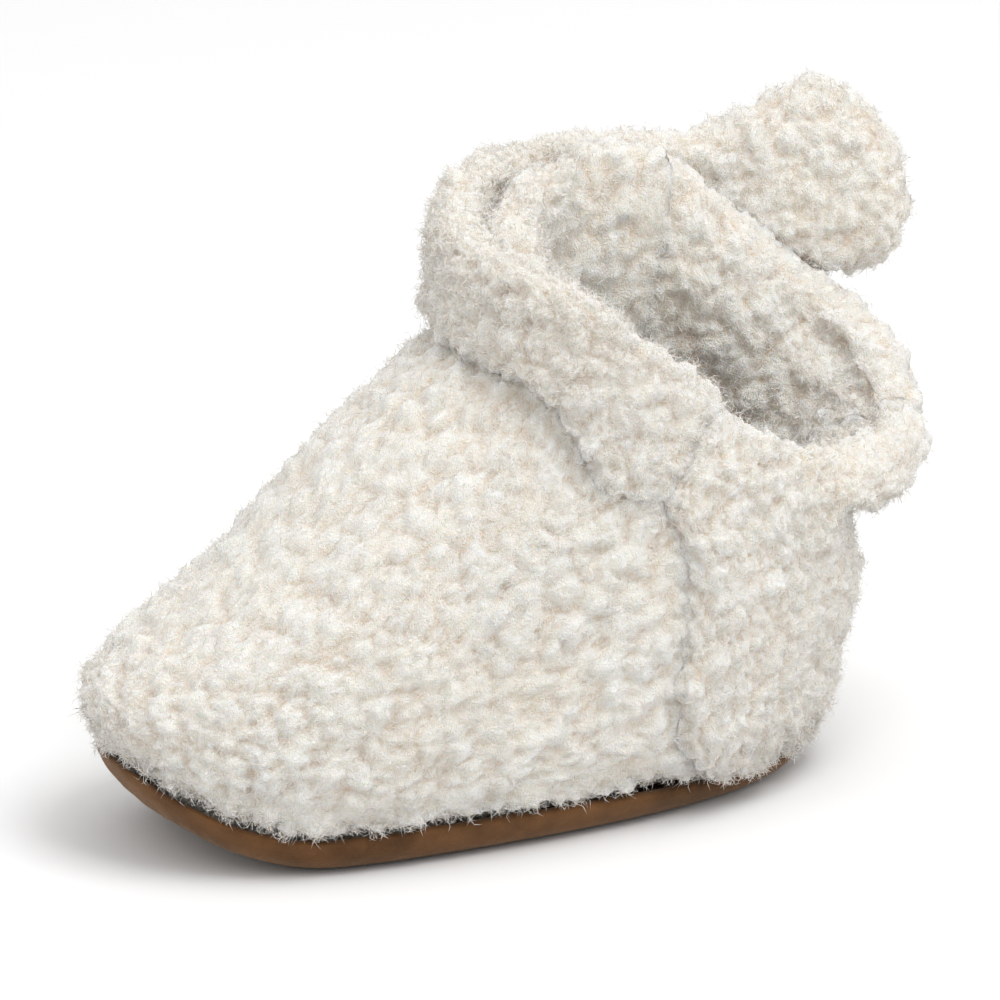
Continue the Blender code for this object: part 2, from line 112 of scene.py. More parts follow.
# Outer wing along its length: angle, lower level, upper level, stand-off from the skin
WING_ANGLES = (106.0, 92.0, 76.0, 60.0, 40.0, 15.0, -15.0, -45.0, -75.0, -100.0, -118.0)
WING_LOWER = (4.9, 5.0, 5.45, 6.05, 6.5, 6.65, 6.7, 6.75, 6.9, 7.1, 7.2)
WING_UPPER = (6.3, 6.9, 7.3, 7.65, 7.85, 7.9, 8.15, 8.55, 8.65, 8.75, 9.2)
WING_OFF = (0.3, 1.8, 3.2, 4.4, 5.4, 6.0, 6.4, 7.6, 9.8, 11.2, 11.6)
TAIL_LENGTH = 38.0
TAIL_HALF_HEIGHT = 18.5
TAIL_LEAN = 0.55
TAIL_CURL_RADIUS = 110.0
TAIL_RISE = 0.5
TAIL_GROW_SHARE = 0.8
WING_BODY_SHARE = 0.8
WING_THICKNESS = 10.8
WING_WIDTH = 27.0

INNER_ANGLES = (-110.0, -92.0, -65.0, -40.0, -15.0, 8.0, 30.0, 50.0)
INNER_LOWER = (5.1, 5.1, 5.95, 6.6, 6.8, 6.8, 6.8, 6.8)
INNER_UPPER = (8.95, 8.9, 8.65, 8.3, 7.95, 7.55, 7.3, 7.1)
INNER_THICKNESS = 10.0
INNER_WIDTH = 24.0
INNER_SINK = 2.0

WALL_THICKNESS = 8.2
VAMP_WIDTH = 95.0
VAMP_OVERLAP = 10.0
VAMP_SINK = 0.6
QUARTER_WIDTH = 70.0
QUARTER_LAP = 1.5
HEM_FLARE = 2.0

# The quarter's front roll and its dip under the vamp: heights, and widths as shares of its length
ROLL_HEIGHT = 2.1
ROLL_SHARE = 0.25
DIP_DEPTH = 4.0
DIP_SHARE = 0.045
ROLL_TOP_LEVEL = 6.6

# The collar: where it starts to roll outwards, and how far it leans, lifts and swells
LIP_START = 118.0
LIP_REACH = 45.0
LIP_OUT = 4.0
LIP_LIFT = 1.5
RIM_SWELL = 0.8
FAR_ROLL_START = 88.0
FAR_ROLL_REACH = 20.0

# Fold of a wing on the near side, the way it heads, and where the bend starts and ends
FOLD_PLACE = (27.0, 26.0, 65.0)
FOLD_HEADING = (-0.93, -0.37, 0.0)
BEND_BEFORE = 3.0
BEND_AFTER = 10.0

# Pile: dome, ringlet and lock heights and the sink of its base, in shares of the curl size
DOME_HEIGHT = 0.25
RINGLET_HEIGHT = 0.19
LOCK_HEIGHT = 0.08
PILE_SINK = 0.42
MOST_FIBRES = 19500
FIBRE_RADII = (0.05, 0.042)

# View, in degrees and in the bootie's frame
VIEW_AZIMUTH = 66.0
VIEW_ELEVATION = 19.0
VIEW_TARGET = (-3.8, 10.6, 47.1)

# Soft square lamps: name, place and size in metres, power in watts
LAMPS = (
    ("ceiling", (0.0, 0.0, 4.0), 8.0, 104.0),
    ("top_light", (0.35, 0.2, 0.95), 0.5, 4.6),
    ("left_light", (0.1, -0.9, 0.55), 0.6, 1.1),
    ("front_light", (0.75, 0.5, 0.7), 0.6, 1.8),
)
LAMP_AIM = (0.0, 0.0, 0.05)
WORLD_STRENGTH = 0.72
FLOOR_REACH = 4.0


def through(xs, values, at):
    """Values at the places at, on a smooth cubic through the points (xs, values)."""
    xs = np.asarray(xs, float)
    values = np.asarray(values, float)
    at = np.asarray(at, float)
    slopes = np.gradient(values, xs, axis=0)
    i = np.clip(np.searchsorted(xs, at, side="right") - 1, 0, len(xs) - 2)
    step = xs[i + 1] - xs[i]
    t = (at - xs[i]) / step
    if values.ndim > 1:
        t = t[..., None]
        step = step[..., None]
    rise = 3 * t**2 - 2 * t**3
    mix = values[i] * (1 - rise) + values[i + 1] * rise
    return mix + step * (slopes[i] * t * (1 - t) ** 2 + slopes[i + 1] * t**2 * (t - 1))


def ease(t):
    """Smooth step from 0 to 1 as t goes from 0 to 1."""
    t = np.clip(t, 0, 1)
    return t * t * (3 - 2 * t)


def unit(vectors):
    """The vectors at length 1."""
    return vectors / np.maximum(np.linalg.norm(vectors, axis=-1, keepdims=True), 1e-9)


def lift(y):
    """Height of the sole's underside: flat, then a parabola up at the toe and the heel."""
    toe_reach = LEVELS[0, 2] * SOLE_LENGTH - TOE_SPRING_START
    heel_reach = LEVELS[0, 3] * SOLE_LENGTH - HEEL_SPRING_START
    toe = np.clip((y - TOE_SPRING_START) / toe_reach, 0, None)
    heel = np.clip((y - HEEL_SPRING_START) / heel_reach, 0, None)
    return TOE_SPRING * toe**2 + HEEL_SPRING * heel**2


def heights(theta, toe, side, heel):
    """Height of one ring, eased by the square of the cosine to the toe and the heel."""
    front = np.clip(np.cos(theta), 0, 1) ** 2
    back = np.clip(-np.cos(theta), 0, 1) ** 2
    return side + front * (toe - side) + back * (heel - side)


def oval(theta, half_width, widest, toe, heel):
    """Plan of one ring: two half ovals that share their widest point."""
    front = np.clip(np.cos(theta), 0, 1)
    back = np.clip(-np.cos(theta), 0, 1)
    x = half_width * np.sin(theta) * (1 + FULLNESS * np.cos(theta) ** 2)
    return x, widest + front * (toe - widest) + back * (heel - widest)


def skin(angle, level):
    """Mean face of the fleece: ovals lofted through the level rings by a cubic."""
    theta = np.radians(angle)
    ring = through(np.arange(len(LEVELS)), LEVELS, level)
    plan = np.moveaxis(ring[..., 1:4] * SOLE_LENGTH, -1, 0)
    x, y = oval(theta, ring[..., 0] * SOLE_WIDTH, *plan)
    z = heights(theta, *np.moveaxis(HEM_HEIGHTS + ring[..., 4:7] * ANKLE_HEIGHT, -1, 0))
    hem_y = oval(theta, 1.0, *(LEVELS[0, 1:4] * SOLE_LENGTH))[1]
    hem_z = lift(hem_y) + heights(theta, *WALL_HEIGHTS) + HEM_GAP
    fade = np.clip(1 - level, 0, None)
    z = z + fade * (hem_z - heights(theta, *HEM_HEIGHTS))
    return np.stack([x, y, z], axis=-1)


def skin_normal(angle, level):
    """Unit normal of the skin, from small steps round it and up it."""
    across = skin(angle + 0.5, level) - skin(angle - 0.5, level)
    up = skin(angle, level + 0.02) - skin(angle, level - 0.02)
    return unit(np.cross(across, up))


def seam(level):
    """Angle of the seam between vamp and quarter at each level."""
    return through(SEAM_LEVELS, SEAM_ANGLES, level)


# Curly pile


def scatter(cell, seed):
    """Three numbers from 0 to 1 for each whole-number cell, always the same for a cell."""
    mixed = cell[..., 0] * 374761393 + cell[..., 1] * 668265263 + cell[..., 2] * 2147483647
    mixed = (mixed + seed * 974634777).astype(np.uint64)
    parts = []
    for turn in range(3):
        mixed = (mixed ^ (mixed >> np.uint64(13))) * np.uint64(1274126177 + 2 * turn)
        mixed = mixed ^ (mixed >> np.uint64(16))
        parts.append((mixed & np.uint64(0xFFFFF)).astype(float) / 0xFFFFF)
    return np.stack(parts, axis=-1)


def curls(points, size, seed, softness):
    """Soft distance to one random point a cell, in cells squared, and that point's number.

    The soft distance is -log(sum(exp(-softness * d^2))) / softness over the near points, so
    domes run together in round valleys.
    """
    place = points / size
    base = np.floor(place).astype(np.int64)
    first = np.full(len(points), 9.0)
    total = np.zeros(len(points))
    number = np.zeros(len(points))
    steps = np.stack(np.meshgrid(*[(-1, 0, 1)] * 3, indexing="ij"), axis=-1).reshape(-1, 3)
    for step in steps:
        cell = base + step
        spot = scatter(cell, seed)
        distance = np.sum((cell + 0.1 + 0.8 * spot - place) ** 2, axis=1)
        number = np.where(distance < first, spot[:, 0], number)
        first = np.minimum(first, distance)
        total = total + np.exp(-softness * distance)
    return -np.log(np.maximum(total, 1e-12)) / softness, number


def wander(points, size, seed):
    """Smooth vectors about one unit long: sums of sines of turned coordinates."""
    random = np.random.default_rng(seed)
    total = np.zeros_like(points)
    for wave in range(5):
        turn = random.normal(size=(3, 3))
        phase = random.uniform(0, 2 * np.pi, 3)
        total = total + np.sin(points @ turn / size * (1 + 0.5 * wave) + phase)
    return total / 5


def pile(points, curl):
    """Height of the curly pile in millimetres, its openness from 0 to 1, and a tint.

    Soft domes stand on scattered points a curl apart, smaller ringlets lie on them and
    the finest locks on those, each moved about by a smooth wander.
    """
    moved = points + 0.8 * wander(points, 6.0, 3) + 0.3 * wander(points, 1.9, 4)
    large, number = curls(moved, curl, 1, 11.0)
    small, _ = curls(moved + 0.45 * wander(points, 1.1, 5), 0.5 * curl, 2, 9.0)
    fine, _ = curls(moved + 0.3 * wander(points, 0.6, 7), 0.25 * curl, 8, 8.0)
    dome = 1 - ease((large + 0.05) / 0.5)
    ringlet = 1 - ease((small + 0.05) / 0.5)
    lock = 1 - ease((fine + 0.05) / 0.5)
    swell = wander(points, 10.0, 6)[:, 0]
    height = DOME_HEIGHT * (0.7 + 0.5 * number) * dome
    height = curl * (height + RINGLET_HEIGHT * ringlet + LOCK_HEIGHT * lock)
    # Openness is low in the valleys between curls, where the fleece material paints shade.
    openness = np.clip(0.5 * dome + 0.32 * ringlet + 0.22 * lock, 0, 1)
    return height + 0.5 * swell - PILE_SINK * curl, openness, number


# Walls: a face, a rolled edge, the other face and a second rolled edge


def stadium(count, width, thickness, power, top_power=None):
    """Closed outline of a padded strip: a superellipse with points evenly spaced along it.

    Returns the share across the strip from 0 to 1, and the share of the thickness from
    -0.5 on the inner face to 0.5 on the outer face. A lower power gives a rounder edge.
    """
    turn = np.linspace(0, 2 * np.pi, 4001)
    bend = np.where(np.cos(turn) > 0, top_power or power, power)
    x = np.sign(np.cos(turn)) * np.abs(np.cos(turn)) ** (2 / bend)
    y = np.sign(np.sin(turn)) * np.abs(np.sin(turn)) ** (2 / bend)
    run = np.hypot(np.diff(x * width), np.diff(y * thickness))
    length = np.concatenate([[0], np.cumsum(run)])
    at = np.linspace(0, length[-1], count, endpoint=False)
    return 0.5 + 0.5 * np.interp(at, length, x), 0.5 * np.interp(at, length, y)


def rounded_ends(share, low, high):
    """1 along a strip, falling as a quarter ellipse to near 0 over its first and last parts."""
    start = np.clip(1 - share / max(low, 1e-6), 0, 1)
    end = np.clip(1 - (1 - share) / max(high, 1e-6), 0, 1)
    return np.sqrt(1 - 0.97 * np.maximum(start, end) ** 2)


def ring_normals(grid):
    """Unit normals of a grid whose columns close into a ring, whichever way it turns."""
    along = np.gradient(grid, axis=0)
    around = np.roll(grid, -1, axis=1) - np.roll(grid, 1, axis=1)
    normal = unit(np.cross(along, around))
    middle = grid.mean(axis=1, keepdims=True)
    outward = np.sum((grid - middle) * normal) >= 0
    return normal if outward else -normal


def fleece_grid(grid, curl, depth=1.0):
    """The grid with the curly pile standing on it, with openness and tint per point."""
    normal = ring_normals(grid)
    height, openness, number = pile(grid.reshape(-1, 3), curl)
    shape = grid.shape[:2]
    raised = grid + normal * (height.reshape(shape) * depth)[..., None]
    return raised, openness.reshape(shape), number.reshape(shape)


def hem_flare(level):
    """How far the pile stands out over the sole's edge at a level, in millimetres."""
    return HEM_FLARE * ease((0.7 - level) / 0.8)


def vamp_wall(rows, around):
    """Toe panel: a padded strip up each meridian, from seam to seam."""
    share = np.linspace(-1, 1, rows)[:, None]
    across, off = stadium(around, VAMP_WIDTH, WALL_THICKNESS, 7.0, 4.0)
    level = HEM_LEVEL + across[None, :] * (VAMP_TOP - HEM_LEVEL)
    angle = share * (seam(level) + VAMP_OVERLAP)
    ends = rounded_ends((share + 1) / 2, 0.014, 0.014)
    out = (off[None, :] * ends - 0.5) * WALL_THICKNESS - VAMP_SINK + hem_flare(level)
    return skin(angle, level) + skin_normal(angle, level) * out[..., None]


def quarter_wall(side, rows, around):
    """Side and heel panel: a padded strip from hem to rim, from the seam to the heel.

    Its front edge rises out of the vamp into a soft roll, and its rim swells and rolls
    outwards round the heel, on the far side from the wing's fold on.
    """
    rim = NEAR_RIM if side > 0 else FAR_RIM
    share = np.linspace(0, 1, rows)[:, None]
    across, off = stadium(around, QUARTER_WIDTH, WALL_THICKNESS, 7.0, 3.4)
    front_level = HEM_LEVEL + across[None, :] * (rim[0] - HEM_LEVEL)
    front = seam(np.minimum(front_level, SEAM_LEVELS[-1])) + QUARTER_LAP
    front = np.maximum(front, FOLD_ANGLE - 1)
    angle = front + share * (180 - front)
    top = through(RIM_SHARES, rim, share)
    level = HEM_LEVEL + across[None, :] * (top - HEM_LEVEL)
    ends = rounded_ends(0.99 * share, 0.03, 0.001)
    roll = ROLL_HEIGHT * np.exp(-((share / ROLL_SHARE) ** 2))
    roll = roll - DIP_DEPTH * np.exp(-((share / DIP_SHARE) ** 2))
    roll = roll * ease((ROLL_TOP_LEVEL - level) / 1.2) + hem_flare(level)
    below = level - top
    back = ease((angle - LIP_START) / LIP_REACH)
    lip = LIP_OUT * back * np.exp(-(((below + 0.9) / 0.9) ** 2)) + LIP_LIFT * ease((below + 2) / 2)
    rolled = back if side > 0 else ease((angle - FAR_ROLL_START) / FAR_ROLL_REACH)
    fat = 1 + RIM_SWELL * rolled * ease((across[None, :] - 0.6) / 0.25)
    if side < 0:
        angle = 360 - angle
    out = (off[None, :] * ends * fat - 0.5) * WALL_THICKNESS + roll + lip
    return skin(angle, level) + skin_normal(angle, level) * out[..., None]


def wing_middle(rows, across):
    """Outer wing's outer face: on the skin plus a level stand-off, then the free tail.

    The tail is an arc in plan, its edges easing apart to the tail's height and rounding
    in like an ellipse at its end, while the body's bow across its width fades out.
    """
    body_rows = int(round(rows * WING_BODY_SHARE))
    turn = np.linspace(WING_ANGLES[0], WING_ANGLES[-1], body_rows)
    xs = WING_ANGLES[::-1]
    lower, upper, off = (
        through(xs, table[::-1], turn)[:, None] for table in (WING_LOWER, WING_UPPER, WING_OFF)
    )
    level = lower + across[None, :] * (upper - lower)
    angle = turn[:, None] + 0 * level
    away = skin_normal(angle, level)
    away[..., 2] = 0
    body = skin(angle, level) + unit(away) * off[..., None]
    foot = body[-1][np.argmin(across)]
    top = body[-1][np.argmax(across)]
    heading = math.atan2(*(body[-1] - body[-2]).mean(axis=0)[:2])
    s = np.linspace(0, TAIL_LENGTH, rows - body_rows + 1)[1:]
    turned = heading + s / TAIL_CURL_RADIUS
    step = TAIL_LENGTH / len(s)
    middle = (foot + top) / 2
    part = np.clip(s / (TAIL_GROW_SHARE * TAIL_LENGTH), 0, 1)
    grow = 0.4 * ease(part) + 0.6 * part
    past = np.clip((s - TAIL_LENGTH + TAIL_HALF_HEIGHT) / TAIL_HALF_HEIGHT, 0, 1)
    narrow = np.sqrt(1 - 0.97 * past**2)
    upright = TAIL_HALF_HEIGHT * unit(np.array([-TAIL_LEAN, 0.0, 1.0]))
    half = ((top - foot) / 2 * (1 - grow)[:, None] + upright * grow[:, None]) * narrow[:, None]
    x = middle[0] + np.cumsum(np.sin(turned)) * step
    y = middle[1] + np.cumsum(np.cos(turned)) * step
    centre = np.stack([x, y, middle[2] + TAIL_RISE * grow], axis=-1)
    tail = centre[:, None] + (2 * across[None, :, None] - 1) * half[:, None]
    bow = body[-1] - (foot + across[:, None] * (top - foot))
    tail = tail + bow[None] * (1 - ease(part))[:, None, None]
    return np.concatenate([body, tail], axis=0)


def outer_wing_wall(rows, around):
    """Outer wing: the padded strip under its outer face."""
    across, off = stadium(around, WING_WIDTH, WING_THICKNESS, 2.7)
    even = np.linspace(0, 1, 41)
    flat = wing_middle(rows, even)
    normal = unit(np.cross(np.gradient(flat, axis=1), np.gradient(flat, axis=0)))
    slot = across * (len(even) - 1)
    low = np.clip(slot.astype(int), 0, len(even) - 2)
    part = (slot - low)[None, :, None]
    normal = unit(normal[:, low] * (1 - part) + normal[:, low + 1] * part)
    ends = rounded_ends(np.linspace(0, 1, rows)[:, None], 0.04, 0.03)
    out = (off[None, :] * ends - 0.5) * WING_THICKNESS
    return wing_middle(rows, across) + normal * out[..., None]


def inner_wing_wall(rows, around):
    """Inner wing: a padded strip on the skin under the outer wing."""
    across, off = stadium(around, INNER_WIDTH, INNER_THICKNESS, 3.6)
    turn = np.linspace(INNER_ANGLES[0], INNER_ANGLES[-1], rows)[:, None]
    lower = through(INNER_ANGLES, INNER_LOWER, turn)
    upper = through(INNER_ANGLES, INNER_UPPER, turn)
    level = lower + across[None, :] * (upper - lower)
    angle = turn + 0 * level
    ends = rounded_ends(np.linspace(0, 1, rows)[:, None], 0.05, 0.05)
    out = (off[None, :] * ends - 0.5) * INNER_THICKNESS - INNER_SINK
    return skin(angle, level) + skin_normal(angle, level) * out[..., None]


# Meshes


def loop_map(mesh, u, v):
    """UV map for the pile's colours, one place per face corner."""
    layer = mesh.uv_layers.new(name="OFBake")
    layer.data.foreach_set("uv", np.stack([u, v], axis=-1).astype(np.float32).ravel())


def set_values(mesh, name, values):
    """Stores one number per vertex under a name."""
    attribute = mesh.attributes.new(name, "FLOAT", "POINT")
    attribute.data.foreach_set("value", np.asarray(values, np.float32).ravel())


def ring_mesh(name, grid, values):
    """Closed mesh of a grid whose columns close into a ring, with a face on each end."""
    rows, around = grid.shape[:2]
    i, j = np.meshgrid(np.arange(rows - 1), np.arange(around), indexing="ij")
    k = (j + 1) % around
    quads = np.stack([i * around + j, (i + 1) * around + j, (i + 1) * around + k, i * around + k])
    quads = quads.reshape(4, -1).T
    u = np.stack([i, i + 1, i + 1, i]).reshape(4, -1).T / (rows - 1) * 0.97
    v = np.stack([j, j, j + 1, j + 1]).reshape(4, -1).T / around
    points = grid.reshape(-1, 3)
    corner = points[quads]
    volume = np.einsum("ij,ij->i", corner[:, 0], np.cross(corner[:, 1], corner[:, 2])).sum()
    volume += np.einsum("ij,ij->i", corner[:, 0], np.cross(corner[:, 2], corner[:, 3])).sum()
    caps = [np.arange(around), (rows - 1) * around + np.arange(around)[::-1]]
    if volume < 0:
        quads, u, v = quads[:, ::-1], u[:, ::-1], v[:, ::-1]
        caps = [cap[::-1] for cap in caps]
    turn = np.linspace(0, 2 * np.pi, around, endpoint=False)
    mesh = bpy.data.meshes.new(name)
    placed = (points + SHIFT) / 1000
    faces = quads.tolist() + [cap.tolist() for cap in caps]
    mesh.from_pydata(placed.tolist(), [], faces)
    cap_u = np.tile(0.985 + 0.01 * np.cos(turn), 2)
    cap_v = np.concatenate([0.25 + 0.01 * np.sin(turn), 0.75 + 0.01 * np.sin(turn)])
    loop_map(mesh, np.concatenate([u.ravel(), cap_u]), np.concatenate([v.ravel(), cap_v]))
    for key, value in values.items():
        set_values(mesh, key, value)
    mesh.shade_smooth()
    return mesh


def add(name, mesh, material, body, nodes=()):
    """Puts a finished piece in the scene, on its body when that is a name, else fixed where it is, and in
    place of its CAD nodes.
    """
    ob = bpy.data.objects.new(name, mesh)
    bpy.context.scene.collection.objects.link(ob)
    mesh.materials.append(material)
    if isinstance(body, str):
        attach(ob, body)
    else:
        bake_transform(ob)
    if nodes:
        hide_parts(*nodes)
    return ob


def fibre_points(random, grid, count, length, weight):
    """Seven points of each fibre: a ring of three at its root and its bend, and its tip.

    Each fibre starts along a mix of the surface's normal and a random tangent, and turns
    towards its side at the bend. The weight says where on the grid fibres are likely.
    """
    normal = ring_normals(grid).reshape(-1, 3)
    points = grid.reshape(-1, 3)
    pick = random.choice(len(points), count, p=weight.ravel() / weight.sum())
    out = normal[pick]
    side = random.normal(size=(count, 3))
    side = unit(side - np.sum(side * out, axis=1, keepdims=True) * out)
    heading = unit(out * random.uniform(0.1, 0.9, (count, 1)) + side)
    bend_to = unit(np.cross(heading, random.normal(size=(count, 3))))
    step = length / 2 * random.uniform(0.35, 1.4, (count, 1))
    spot = points[pick] + 0.2 * random.normal(size=(count, 3)) - 0.15 * out
    turn = random.uniform(0.6, 1.9, (count, 1))
    thick = random.uniform(0.7, 1.3, (count, 1))
    rings = []
    for radius in FIBRE_RADII:
        first = unit(np.cross(heading, bend_to))
        for corner in range(3):
            around = corner * 2 * np.pi / 3
            off = np.cos(around) * first + np.sin(around) * bend_to
            rings.append(spot + radius * thick * off)
        spot = spot + heading * step
        turned = unit(heading * np.cos(turn) + bend_to * np.sin(turn))
        bend_to = unit(bend_to * np.cos(turn) - heading * np.sin(turn))
        heading = turned
    rings.append(spot)
    return np.stack(rings, axis=1)


def fibres(name, grid, count, length, seed, weight):
    """Loose curly fibres: thin three-sided tapering tubes with one bend, rooted in the pile."""
    random = np.random.default_rng(seed)
    verts = fibre_points(random, grid, count, length, weight)
    pattern = [(0, 2, 1)]
    for corner in range(3):
        after = (corner + 1) % 3
        pattern.append((corner, after, after + 3))
        pattern.append((corner, after + 3, corner + 3))
        pattern.append((3 + corner, 3 + after, 6))
    pattern = np.array(pattern)
    faces = (np.arange(count)[:, None, None] * 7 + pattern[None]).reshape(-1, 3)
    mesh = bpy.data.meshes.new(name)
    mesh.from_pydata(((verts.reshape(-1, 3) + SHIFT) / 1000).tolist(), [], faces.tolist())
    cells_across = int(math.ceil(math.sqrt(count)))
    cell = np.arange(count)
    ring_of = np.array([0, 0, 0, 1, 1, 1, 2]) / 2.2 + 0.03
    corner_of = np.array([0, 1, 2, 0, 1, 2, 1]) / 2.6 + 0.03
    u = (cell[:, None, None] % cells_across + corner_of[pattern][None]) / cells_across
    v = (cell[:, None, None] // cells_across + ring_of[pattern][None]) / cells_across
    loop_map(mesh, u.ravel(), v.ravel())
    set_values(mesh, "along", np.tile(np.array([0, 0, 0, 0.5, 0.5, 0.5, 1.0]), count))
    set_values(mesh, "tint", np.repeat(random.uniform(0, 1, count), 7))
    mesh.shade_smooth()
    return mesh


# Materials


def new_material(name):
    """Empty node material: returns it, its shader and a function that adds a node."""
    made = bpy.data.materials.new(name)
    made.use_nodes = True
    tree = made.node_tree
    shader = tree.nodes["Principled BSDF"]

    def node(kind, **values):
        new = tree.nodes.new(kind)
        for key, value in values.items():
            if key in new.inputs:
                new.inputs[key].default_value = value
            else:
                setattr(new, key, value)
        return new

    return made, tree, shader, node


def ramp(node, tree, source, stops):
    """Colour ramp through the stops, fed by a socket."""
    made = node("ShaderNodeValToRGB")
    tree.links.new(source, made.inputs["Fac"])
    elements = made.color_ramp.elements
    while len(elements) < len(stops):
        elements.new(0.5)
    for element, (position, colour) in zip(elements, stops):
        element.position = position
        element.color = (*colour, 1)
    return made.outputs["Color"]


def mixed(node, tree, kind, factor, first, second):
    """Mix of two colours by a blend kind; the factor is a number or a socket."""
    made = node("ShaderNodeMix", data_type="RGBA", blend_type=kind)
    if isinstance(factor, float):
        made.inputs[0].default_value = factor
    else:
        tree.links.new(factor, made.inputs[0])
    for socket, value in ((made.inputs[6], first), (made.inputs[7], second)):
        if isinstance(value, tuple):
            socket.default_value = (*value, 1)
        else:
            tree.links.new(value, socket)
    return made.outputs[2]


def bumped(node, tree, shader, source, strength, distance):
    """Bump from a socket into the shader's normal."""
    bump = node("ShaderNodeBump", Strength=strength, Distance=distance)
    tree.links.new(source, bump.inputs["Height"])
    tree.links.new(bump.outputs["Normal"], shader.inputs["Normal"])


def fleece_material(name, top, crease_shade):
    """Curly pile: tan painted shade in the valleys, cream on the curls, with fine tangled fibres."""
    made, tree, shader, node = new_material(name)
    place = node("ShaderNodeTexCoord").outputs["Object"]
    opened = node("ShaderNodeAttribute", attribute_name="openness").outputs["Fac"]
    tint = node("ShaderNodeAttribute", attribute_name="tint").outputs["Fac"]
    tangle = node("ShaderNodeTexNoise", Scale=1500.0, Detail=4.0, Distortion=2.2)
    tree.links.new(place, tangle.inputs["Vector"])
    strands = node("ShaderNodeTexWave", Scale=420.0, Distortion=14.0, Detail=3.0)
    strands.inputs["Detail Scale"].default_value = 2.2
    tree.links.new(place, strands.inputs["Vector"])
    both = node("ShaderNodeMath", operation="MULTIPLY_ADD")
    tree.links.new(strands.outputs["Fac"], both.inputs[0])
    both.inputs[1].default_value = 0.5
    tree.links.new(tangle.outputs["Fac"], both.inputs[2])
    mixed_height = node("ShaderNodeMath", operation="MULTIPLY_ADD")
    tree.links.new(both.outputs[0], mixed_height.inputs[0])
    mixed_height.inputs[1].default_value = 0.6
    tree.links.new(opened, mixed_height.inputs[2])
    # Painted shade: the ramp puts the tan crease shade colour in the closed valleys and the cream on the
    # open curl tops.
    middle = tuple(0.3 * low + 0.7 * high for low, high in zip(crease_shade, top))
    stops = [(0.3, crease_shade), (0.62, middle), (1.0, top)]
    colour = ramp(node, tree, mixed_height.outputs[0], stops)
    # Fine random specks of the painted crease shade colour.
    speckle = node("ShaderNodeTexNoise", Scale=4200.0, Detail=2.0, Distortion=1.0)
    tree.links.new(place, speckle.inputs["Vector"])
    between = ramp(node, tree, speckle.outputs["Fac"], [(0.3, (0.4, 0.4, 0.4)), (0.48, (0, 0, 0))])
    colour = mixed(node, tree, "MIX", between, colour, crease_shade)
    warm = tuple(value * factor for value, factor in zip(top, (0.99, 0.93, 0.83)))
    patch = node("ShaderNodeTexNoise", Scale=60.0, Detail=3.0)
    tree.links.new(place, patch.inputs["Vector"])
    patchy = ramp(node, tree, patch.outputs["Fac"], [(0.5, (0, 0, 0)), (0.8, (0.4, 0.4, 0.4))])
    colour = mixed(node, tree, "MIX", patchy, colour, warm)
    shade = ramp(node, tree, tint, [(0.0, (0.95, 0.94, 0.92)), (1.0, (1, 1, 1))])
    colour = mixed(node, tree, "MULTIPLY", 1.0, colour, shade)
    tree.links.new(colour, shader.inputs["Base Color"])
    bumped(node, tree, shader, both.outputs[0], 0.9, 0.0006)
    shader.inputs["Roughness"].default_value = 1.0
    shader.inputs["Specular IOR Level"].default_value = 0.05
    shader.inputs["Sheen Weight"].default_value = 0.6
    shader.inputs["Sheen Roughness"].default_value = 0.5
    shader.inputs["Subsurface Weight"].default_value = 0.5
    shader.inputs["Subsurface Radius"].default_value = (1.0, 0.8, 0.6)
    shader.inputs["Subsurface Scale"].default_value = 0.003
    return made


def fibre_material(name, root, tip):
    """Single fibres: warmer painted shade at the root, whiter at the tip, each with its own tint."""
    made, tree, shader, node = new_material(name)
    along = node("ShaderNodeAttribute", attribute_name="along").outputs["Fac"]
    tint = node("ShaderNodeAttribute", attribute_name="tint").outputs["Fac"]
    # Painted shade: the root takes the crease shade colour and fades to the tip's white by half way.
    colour = ramp(node, tree, along, [(0.0, root), (0.45, tip)])
    shade = ramp(node, tree, tint, [(0.0, (0.9, 0.88, 0.85)), (1.0, (1, 1, 1))])
    colour = mixed(node, tree, "MULTIPLY", 1.0, colour, shade)
    tree.links.new(colour, shader.inputs["Base Color"])
    shader.inputs["Roughness"].default_value = 0.7
    shader.inputs["Specular IOR Level"].default_value = 0.3
    shader.inputs["Sheen Weight"].default_value = 0.5
    return made


def suede_material(name, brown):
    """Suede: mottled brown nap with pale specks and fine grain."""
    made, tree, shader, node = new_material(name)
    place = node("ShaderNodeTexCoord").outputs["Object"]
    mottle = node("ShaderNodeTexNoise", Scale=110.0, Detail=6.0, Roughness=0.65)
    tree.links.new(place, mottle.inputs["Vector"])
    dark = tuple(value * 0.55 for value in brown)
    light = tuple(min(1.0, value * 1.5) for value in brown)
    colour = ramp(node, tree, mottle.outputs["Fac"], [(0.3, dark), (0.5, brown), (0.72, light)])
    nap = node("ShaderNodeTexNoise", Scale=2600.0, Detail=4.0, Roughness=0.7)
    tree.links.new(place, nap.inputs["Vector"])
    speck = ramp(node, tree, nap.outputs["Fac"], [(0.66, (0, 0, 0)), (0.74, (1, 1, 1))])
    colour = mixed(node, tree, "MIX", 0.0, colour, tuple(min(1.0, v * 2.6) for v in brown))
    tree.links.new(speck, colour.node.inputs[0])
    tree.links.new(colour, shader.inputs["Base Color"])
    bumped(node, tree, shader, nap.outputs["Fac"], 0.6, 0.0003)
    shader.inputs["Roughness"].default_value = 0.92
    shader.inputs["Specular IOR Level"].default_value = 0.2
    shader.inputs["Sheen Weight"].default_value = 0.35
    shader.inputs["Sheen Roughness"].default_value = 0.4
    shader.inputs["Sheen Tint"].default_value = (0.8, 0.6, 0.42, 1)
    return made


